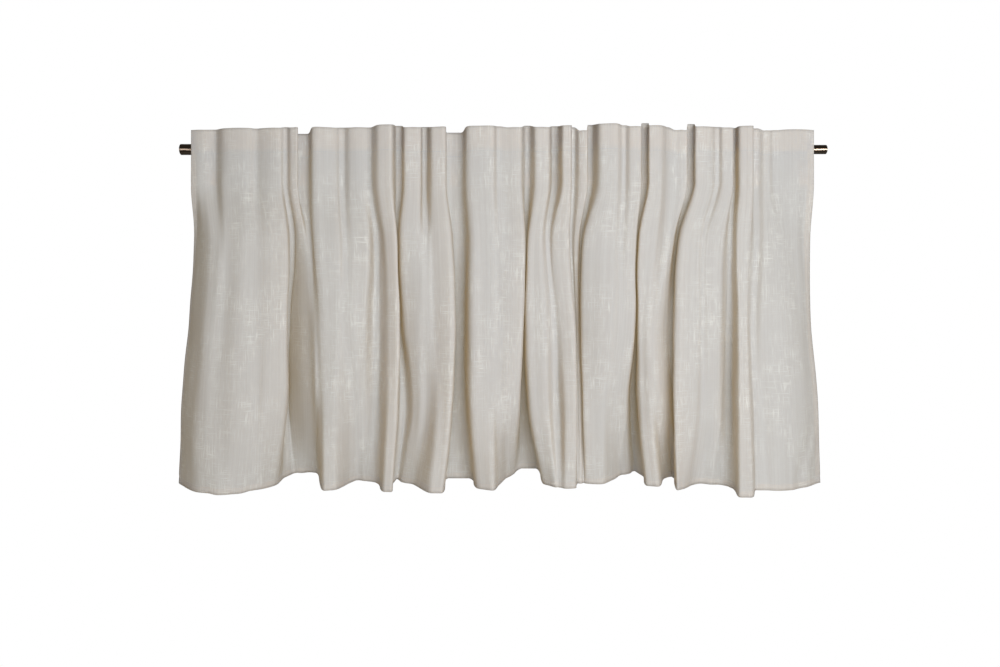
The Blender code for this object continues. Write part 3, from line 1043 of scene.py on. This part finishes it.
class VALANCE_OT_cloth(bpy.types.Operator):
    """Hang the gathered cloth with its turned heading and hems"""

    bl_idname = "valance.cloth"
    bl_label = "Cloth and its seams"

    def execute(self, context):
        sizes = context.scene.valance_cloth
        cloth, grid, normal, flat, drops = make_cloth(sizes)
        length = sizes.stitch / MM
        turn = nearest(drops, HEADING_TURN)
        hem = nearest(drops, DROP - HEM_STITCH)
        left = nearest(flat, SIDE_TURN)
        right = nearest(flat, flat[-1] - SIDE_TURN)
        heading = make_stitches("heading_stitches", [(grid[turn], normal[turn])], length)
        hems = make_stitches(
            "hem_stitches",
            [
                (grid[hem], normal[hem]),
                (grid[:, left], normal[:, left]),
                (grid[:, right], normal[:, right]),
            ],
            length,
        )
        return {"FINISHED"}


class VALANCE_OT_loops(bpy.types.Operator):
    """Give the loops behind the heading their woven tape"""

    bl_idname = "valance.loops"
    bl_label = "Loop tape"

    def execute(self, context):
        look = loop_tape()
        for name in LOOPS:
            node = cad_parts[name]
            node.data.materials.clear()
            node.data.materials.append(look)
        return {"FINISHED"}


class VALANCE_OT_rod(bpy.types.Operator):
    """Turn the two tubes of the rod"""

    bl_idname = "valance.rod"
    bl_label = "Rod"

    def execute(self, context):
        sizes = context.scene.valance_rod
        look = nickel_plate(sizes)
        end = sizes.half
        make_tube("outer_tube", sizes.outer, -end, sizes.outer_end, look, "rod_outer_tube")
        make_tube("inner_tube", sizes.inner, end, sizes.inner_start, look, "rod_inner_tube")
        return {"FINISHED"}


def area_light(light, watts):
    data = bpy.data.lights.new(light.name, "AREA")
    data.shape = "RECTANGLE"
    data.size = light.width
    data.size_y = light.height
    data.energy = watts
    data.color = colour(light.shade)[:3]
    lamp = bpy.data.objects.new(light.name, data)
    lamp.location = light.place
    aim = Vector(LIT_PLACE) - Vector(light.place)
    lamp.rotation_euler = aim.to_track_quat("-Z", "Y").to_euler()
    bpy.context.scene.collection.objects.link(lamp)


class VALANCE_OT_studio(bpy.types.Operator):
    """Set up the floor, the light and the camera"""

    bl_idname = "valance.studio"
    bl_label = "Studio"

    def execute(self, context):
        sizes = context.scene.valance_studio
        scene = context.scene
        deselect()
        bpy.ops.mesh.primitive_plane_add(size=1, location=(0, 0, 0))
        floor = context.active_object
        floor.name = "studio_floor"
        floor.scale = FLOOR_SIZE
        floor.location = FLOOR_PLACE
        bpy.ops.object.transform_apply(location=True, rotation=True, scale=True)
        floor.data.materials.append(studio_paint())

        data = bpy.data.cameras.new("camera")
        data.sensor_width = SENSOR_MM
        data.lens = SENSOR_MM * sizes.pixels / FRAME_WIDTH
        data.shift_y = (sizes.horizon - FRAME_HEIGHT / 2) / FRAME_WIDTH
        data.clip_end = 50.0
        camera = bpy.data.objects.new("camera", data)
        camera.location = (sizes.side, -sizes.distance, sizes.height)
        camera.rotation_euler = (math.pi / 2, 0, 0)
        scene.collection.objects.link(camera)
        scene.camera = camera

        for light in LIGHTS:
            area_light(light, getattr(sizes, light.power))

        world = bpy.data.worlds.new("studio_air")
        world.use_nodes = True
        tree = world.node_tree
        tree.nodes.clear()
        # The camera sees plain white behind the part, which is lit by a dimmer, warmer air.
        seen = add(tree, "ShaderNodeLightPath").outputs["Is Camera Ray"]
        strength = add(
            tree,
            "ShaderNodeMapRange",
            {"Value": seen, "To Min": sizes.fill, "To Max": 1.0},
        )
        shade = add(
            tree,
            "ShaderNodeMix",
            {0: seen, 6: colour("fff6e6"), 7: colour("ffffff")},
            data_type="RGBA",
        )
        air = add(
            tree,
            "ShaderNodeBackground",
            {"Color": shade.outputs[2], "Strength": strength.outputs[0]},
        )
        add(tree, "ShaderNodeOutputWorld", {"Surface": air.outputs[0]})
        scene.world = world
        scene.view_settings.view_transform = "Standard"
        return {"FINISHED"}


class VALANCE_PT_sidebar(bpy.types.Panel):
    """Lists what the valance is built from"""

    bl_idname = "VALANCE_PT_sidebar"
    bl_label = "Valance"
    bl_space_type = "VIEW_3D"
    bl_region_type = "UI"
    bl_category = "Valance"

    def draw(self, context):
        for kind in OPERATORS:
            self.layout.operator(kind.bl_idname)
        scene = context.scene
        for group in (scene.valance_cloth, scene.valance_rod, scene.valance_studio):
            box = self.layout.box()
            for name in group.bl_rna.properties.keys():
                if name not in ("rna_type", "name"):
                    box.prop(group, name)


OPERATORS = (VALANCE_OT_cloth, VALANCE_OT_loops, VALANCE_OT_rod, VALANCE_OT_studio)
CLASSES = (ClothSizes, RodSizes, StudioSizes, *OPERATORS, VALANCE_PT_sidebar)


def register():
    for kind in CLASSES:
        bpy.utils.register_class(kind)
    bpy.types.Scene.valance_cloth = bpy.props.PointerProperty(type=ClothSizes)
    bpy.types.Scene.valance_rod = bpy.props.PointerProperty(type=RodSizes)
    bpy.types.Scene.valance_studio = bpy.props.PointerProperty(type=StudioSizes)


def unregister():
    del bpy.types.Scene.valance_cloth
    del bpy.types.Scene.valance_rod
    del bpy.types.Scene.valance_studio
    for kind in reversed(CLASSES):
        bpy.utils.unregister_class(kind)


def main():
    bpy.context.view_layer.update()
    register()
    bpy.ops.valance.cloth()
    bpy.ops.valance.loops()
    bpy.ops.valance.rod()
    bpy.ops.valance.studio()


if __name__ == "__main__":
    main()
